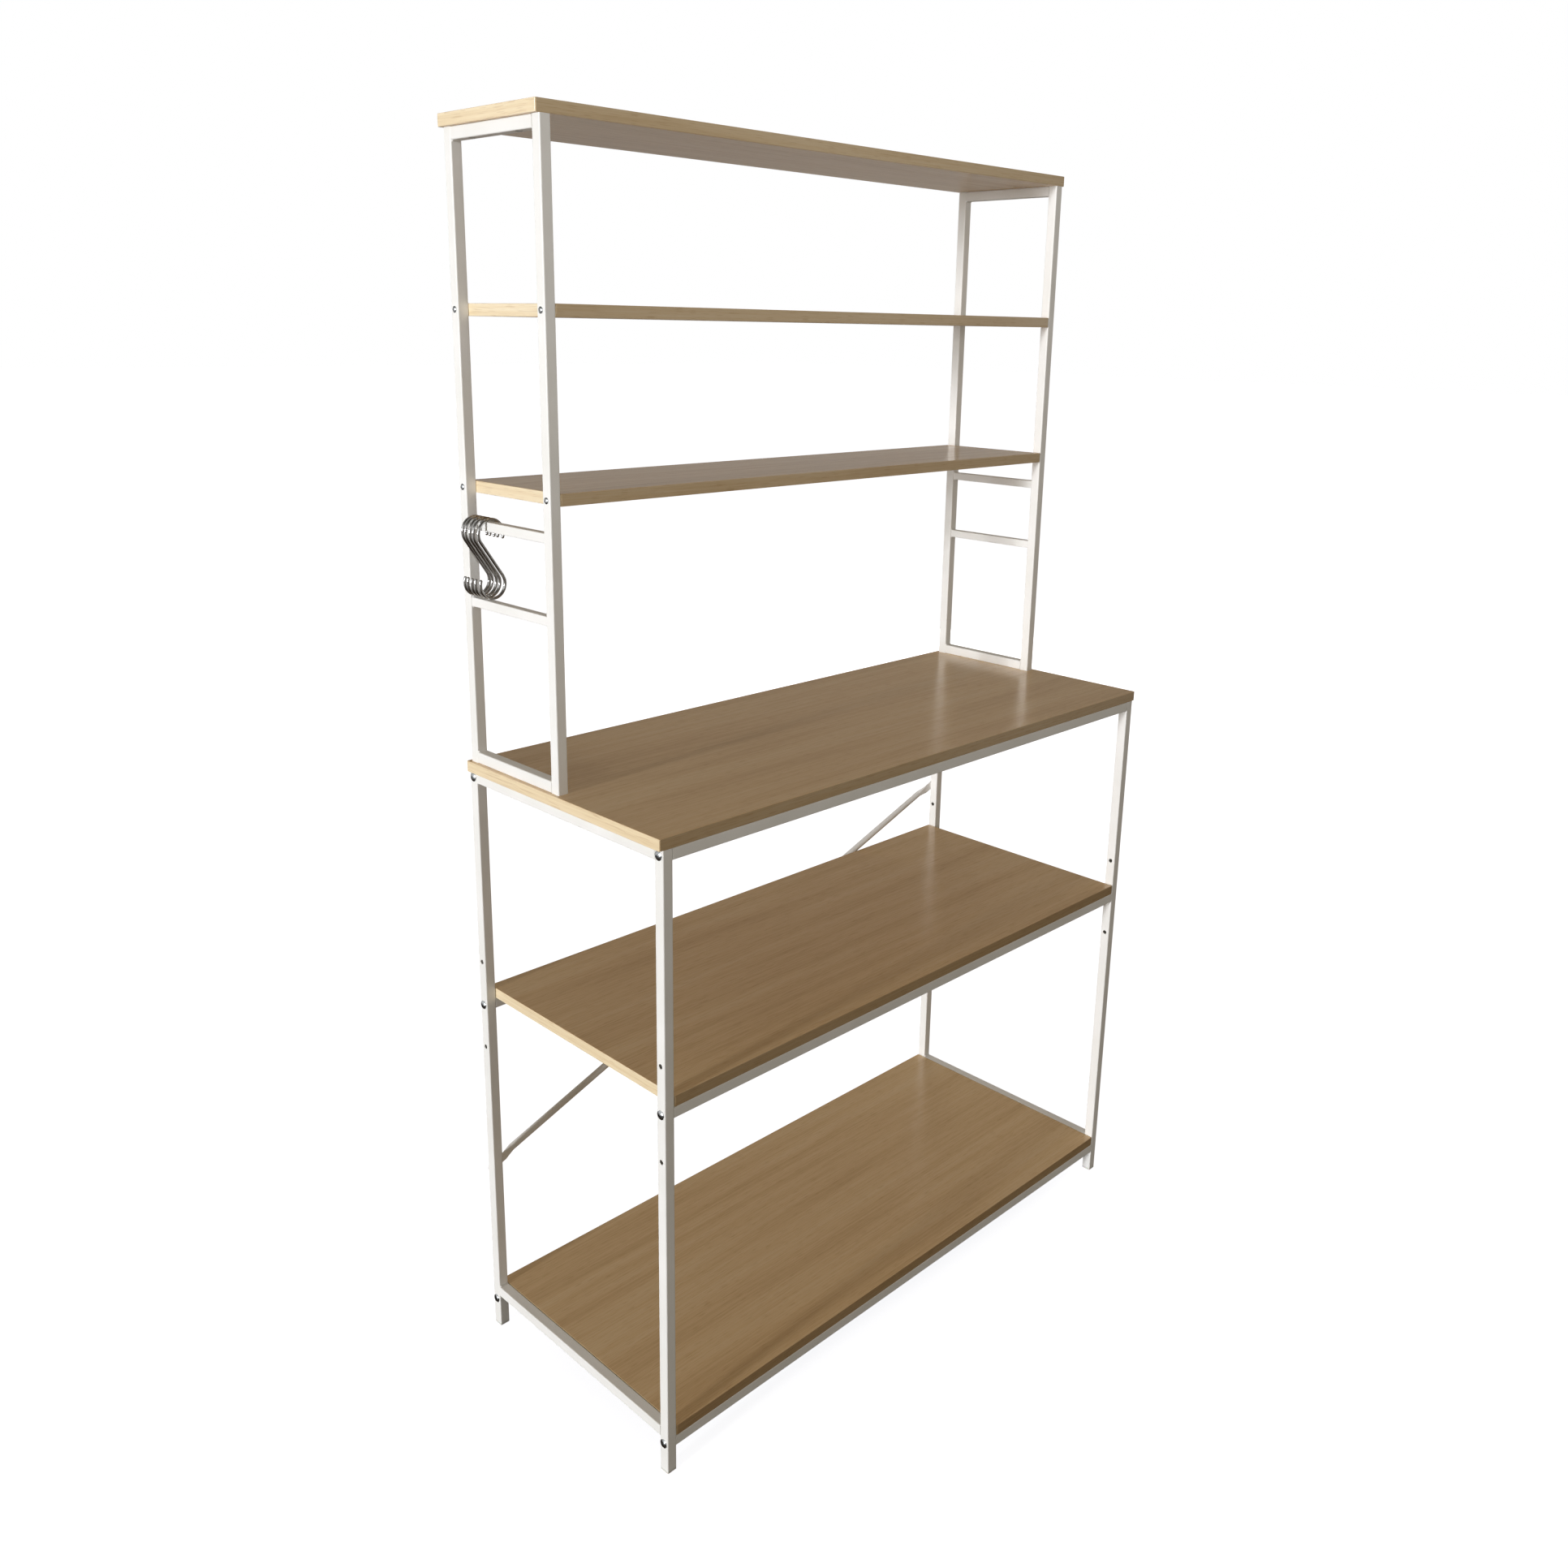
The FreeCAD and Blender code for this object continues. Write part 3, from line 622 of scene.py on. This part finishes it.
def hidden_screws(name, node):
    """Screws with their heads inside the side rails of a frame, two a side, in place of a node."""
    node_low, node_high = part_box(node)
    seat = node_low.z + screw_head_height
    screw = cross_headed(
        screw_head_radius, screw_rim_height, screw_head_height, screw_radius, node_high.z - seat
    )
    places = []
    for side in sides:
        low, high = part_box(f"hutch_{side}_bottom_rail")
        for hand in (-1, 1):
            y = (low.y + high.y) / 2 + hand * hutch_screw_spread / 2
            places.append(facing(((low.x + high.x) / 2, y, seat), (0, 0, -1)))
    screws = place_copies(screw, name, places)
    screws.data.materials.append(zinc)
    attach(screws, "rack")
    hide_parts(node)


hidden_screws("hutch_machine_screws", "hutch_screws")
finish_nodes(zinc, ["hutch_nuts"])


# Shelves and top board of the hutch
# Three narrow boards of the same laminate. Screws through the posts hold the ends of the
# two shelves, and screws with their heads inside the top rails hold the top board.
end_bite = 0.022

finish_nodes(laminate, ["top_board", "upper_shelf", "lower_shelf"])
shelf_screw_places = []
for shelf in ("upper_shelf", "lower_shelf"):
    low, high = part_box(shelf)
    for side, hand in (("left", -1), ("right", 1)):
        for end in ends:
            post_low, post_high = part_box(f"hutch_{side}_{end}_post")
            outside = post_low.x if hand < 0 else post_high.x
            point = (outside, (post_low.y + post_high.y) / 2, (low.z + high.z) / 2)
            shelf_screw_places.append(facing(point, (hand, 0, 0)))
shelf_screws = place_copies(
    chipboard_screw(end_bite), "shelf_chipboard_screws", shelf_screw_places
)
shelf_screws.data.materials.append(zinc)
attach(shelf_screws, "rack")
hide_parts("shelf_screws")
hidden_screws("top_chipboard_screws", "top_board_screws")


# S-hooks
# Five hooks of round steel wire, cut, tumbled round at the tips, bent cold round two pins
# and hung in a bunch over the left upper rung.

# Bright chrome over nickel. It mirrors the room almost without blur, so that each bend
# carries thin dark and white lines, with faint hazy patches where it was handled.
haze_size = 0.006
chrome_smoothest, chrome_roughest = 0.05, 0.14

chrome = new_material("bright_chrome_plated_steel")
tree = chrome.node_tree
place = add_node(tree, "TexCoord", {}, {})
here = {"Vector": place.outputs["Object"]}
haze = add_node(tree, "TexNoise", {"Scale": 1 / haze_size, "Detail": 3.0}, here)
chrome_tone = add_node(
    tree, "ValToRGB", {"stops": [(0.3, "BDBCBB"), (0.7, "CFCECD")]}, {"Fac": haze.outputs["Fac"]}
)
chrome_gloss = add_node(
    tree,
    "MapRange",
    {"To Min": chrome_smoothest, "To Max": chrome_roughest},
    {"Value": haze.outputs["Fac"]},
)
chrome_shader = add_node(
    tree,
    "BsdfPrincipled",
    {"Metallic": 1.0},
    {"Base Color": chrome_tone.outputs["Color"], "Roughness": chrome_gloss.outputs["Result"]},
)
add_node(tree, "OutputMaterial", {}, {"Surface": chrome_shader.outputs["BSDF"]})
finish_nodes(chrome, [f"s_hook_{number}" for number in range(1, 6)])


# Floor
# A plain white studio floor. Rays from the camera see it lit up to white. Rays from a gloss or a
# glass see a painted reflection, a glow at the back and towards the window on the left, and
# painted shade, dark under the rack. It keeps the rack's soft shadow.
floor_size = 80.0
floor_hex, under_rack_shade_hex, glow_hex = "B4B3B1", "5E554E", "FBFCFF"
# Painted reflection: the far and window glows show only to gloss and glass rays
floor_glow, far_floor_glow, window_floor_glow = 0.92, 0.18, 0.6
near_edge, far_edge = 1.5, 4.0
away_from_camera = (0.7, 0.7, 0.0)
towards_window = (-0.85, 0.53, 0.0)


def ray_kinds(tree):
    """Whether a ray comes from the camera, and whether a gloss or a glass sent it."""
    path = add_node(tree, "LightPath", {}, {})
    mirrored = add_node(
        tree,
        "Math",
        {"operation": "MAXIMUM"},
        {0: path.outputs["Is Glossy Ray"], 1: path.outputs["Is Transmission Ray"]},
    )
    return path.outputs["Is Camera Ray"], mirrored.outputs["Value"]


floor_paint = new_material("matt_white_studio_floor")
tree = floor_paint.node_tree
seen, mirrored = ray_kinds(tree)
place = add_node(tree, "TexCoord", {}, {})
way_out = add_node(tree, "VectorMath", {"operation": "NORMALIZE"}, {0: place.outputs["Object"]})
distance = add_node(tree, "VectorMath", {"operation": "LENGTH"}, {0: place.outputs["Object"]})
is_far = add_node(
    tree,
    "MapRange",
    {"From Min": near_edge, "From Max": far_edge},
    {"Value": distance.outputs["Value"]},
)


def floor_side(direction, start, end, most):
    """How much of a glow the floor has for gloss, by the way that it lies from the rack."""
    share = add_node(
        tree,
        "VectorMath",
        {"operation": "DOT_PRODUCT", 1: direction},
        {0: way_out.outputs["Vector"]},
    )
    ramp = add_node(
        tree,
        "MapRange",
        {"From Min": start, "From Max": end, "To Max": most},
        {"Value": share.outputs["Value"]},
    )
    return ramp.outputs["Result"]


# Painted reflection: for gloss and glass rays the floor glows at the back and towards the window
sides_glow = add_node(
    tree,
    "Math",
    {"operation": "ADD"},
    {
        0: floor_side(away_from_camera, -0.05, 0.15, far_floor_glow),
        1: floor_side(towards_window, 0.6, 0.85, window_floor_glow),
    },
)
glow = sides_glow
for share in (is_far.outputs["Result"], mirrored):
    glow = add_node(
        tree, "Math", {"operation": "MULTIPLY"}, {0: glow.outputs["Value"], 1: share}
    )
glow = add_node(
    tree,
    "Math",
    {"operation": "MULTIPLY_ADD", 1: floor_glow},
    {0: seen, 2: glow.outputs["Value"]},
)
# Painted shade: for gloss and glass rays the floor is darker near the rack
is_near = add_node(
    tree, "Math", {"operation": "SUBTRACT", 0: 1.0}, {1: is_far.outputs["Result"]}
)
is_painted_shade = add_node(
    tree, "Math", {"operation": "MULTIPLY"}, {0: is_near.outputs["Value"], 1: mirrored}
)
floor_tone = add_node(
    tree,
    "MixRGB",
    {"Color1": linear(floor_hex), "Color2": linear(under_rack_shade_hex)},
    {"Fac": is_painted_shade.outputs["Value"]},
)
floor_shader = add_node(
    tree,
    "BsdfPrincipled",
    {"Roughness": 0.9, "Specular IOR Level": 0.0, "Emission Color": linear(glow_hex)},
    {"Base Color": floor_tone.outputs["Color"], "Emission Strength": glow.outputs["Value"]},
)
add_node(tree, "OutputMaterial", {}, {"Surface": floor_shader.outputs["BSDF"]})
bpy.ops.object.select_all(action="DESELECT")
bpy.ops.mesh.primitive_plane_add(size=floor_size)
floor = bpy.context.object
floor.name = "studio_floor"
floor.data.materials.append(floor_paint)


# Lights
# A large soft window light from the left end, level with the rack, as in the photograph,
# a weaker one from behind on the right, so that no side is lost, and a faint narrow one
# from the front on the upper part of the hutch.
def window_light(name, location, aim, width, height, watts, hex_colour):
    """A rectangular area lamp that looks at a point."""
    data = bpy.data.lights.new(name, "AREA")
    data.shape = "RECTANGLE"
    data.size = width
    data.size_y = height
    data.energy = watts
    data.color = linear(hex_colour)[:3]
    lamp = bpy.data.objects.new(name, data)
    lamp.location = location
    lamp.rotation_euler = (Vector(aim) - Vector(location)).to_track_quat("-Z", "Z").to_euler()
    bpy.context.scene.collection.objects.link(lamp)
    return lamp


window_light(
    "left_window",
    location=(-40.0, -2.4, 1.25),
    aim=(0, -0.1, 1.0),
    width=14.0,
    height=2.5,
    watts=23400.0,
    hex_colour="FAFCFF",
)
back_fill = window_light(
    "back_fill",
    location=(3.6, 3.2, 1.0),
    aim=(0, 0, 0.9),
    width=2.0,
    height=1.6,
    watts=60.0,
    hex_colour="FFFFFF",
)
front_fill = window_light(
    "front_fill",
    location=(-1.2, -4.0, 1.7),
    aim=(-0.2, 0, 1.75),
    width=1.6,
    height=0.6,
    watts=1.5,
    hex_colour="FFFFFF",
)
front_fill.data.spread = math.radians(30)
back_fill.visible_glossy = False
front_fill.visible_glossy = False

# The room's own light is low and warm. What the camera sees behind the rack is white, and
# metal and gloss see white at eye level and in the window on the left, under a dimmer
# ceiling.
room_hex = "938B7E"
ceiling_hex = "7E7C78"
behind_camera_hex = "3E3B38"
back_wall_stops = [(0.02, "FFFFFF"), (0.12, ceiling_hex)]
window_wall_stops = [(0.4, "FFFFFF"), (0.55, ceiling_hex)]

world = bpy.data.worlds.new("studio_room")
bpy.context.scene.world = world
world.use_nodes = True
tree = world.node_tree
tree.nodes.clear()
direction = add_node(tree, "TexCoord", {}, {})
height = add_node(tree, "SeparateXYZ", {}, {"Vector": direction.outputs["Generated"]})
back_wall = add_node(
    tree, "ValToRGB", {"stops": back_wall_stops}, {"Fac": height.outputs["Z"]}
)
towards_back = add_node(
    tree,
    "VectorMath",
    {"operation": "DOT_PRODUCT", 1: away_from_camera},
    {0: direction.outputs["Generated"]},
)
is_back = add_node(
    tree,
    "MapRange",
    {"From Min": -0.5, "From Max": 0.1},
    {"Value": towards_back.outputs["Value"]},
)
walls = add_node(
    tree,
    "MixRGB",
    {"Color1": linear(behind_camera_hex)},
    {"Fac": is_back.outputs["Result"], "Color2": back_wall.outputs["Color"]},
)
window_wall = add_node(
    tree, "ValToRGB", {"stops": window_wall_stops}, {"Fac": height.outputs["Z"]}
)
is_window = add_node(
    tree, "MapRange", {"From Min": -0.35, "From Max": -0.55}, {"Value": height.outputs["X"]}
)
walls = add_node(
    tree,
    "MixRGB",
    {},
    {
        "Fac": is_window.outputs["Result"],
        "Color1": walls.outputs["Color"],
        "Color2": window_wall.outputs["Color"],
    },
)
seen, mirrored = ray_kinds(tree)
room = add_node(
    tree,
    "MixRGB",
    {"Color1": linear(room_hex)},
    {"Fac": mirrored, "Color2": walls.outputs["Color"]},
)
backdrop = add_node(
    tree,
    "MixRGB",
    {"Color2": linear("FFFFFF")},
    {"Fac": seen, "Color1": room.outputs["Color"]},
)
background = add_node(tree, "Background", {"Strength": 1.0}, {"Color": backdrop.outputs["Color"]})
add_node(tree, "OutputWorld", {}, {"Surface": background.outputs["Background"]})


# Camera
# It stands front left of the rack, a little below the top board, where the photograph was
# taken from, and is tipped one degree.
camera_tilt, camera_turn, camera_roll = 75.01, -45.27, 1.017

camera_data = bpy.data.cameras.new("photograph_view")
camera_data.sensor_width = 36.0
camera_data.lens = 31.77
camera_data.shift_x = -0.00738
camera_data.shift_y = -0.05534
camera = bpy.data.objects.new("photograph_view", camera_data)
camera.location = (-1.43877, -1.34323, 1.44429)
aim = Euler((math.radians(camera_tilt), 0, math.radians(camera_turn))).to_quaternion()
tip = Euler((0, 0, math.radians(camera_roll))).to_quaternion()
camera.rotation_euler = (aim @ tip).to_euler()
bpy.context.scene.collection.objects.link(camera)
bpy.context.scene.camera = camera
bpy.context.scene.view_settings.view_transform = "Standard"
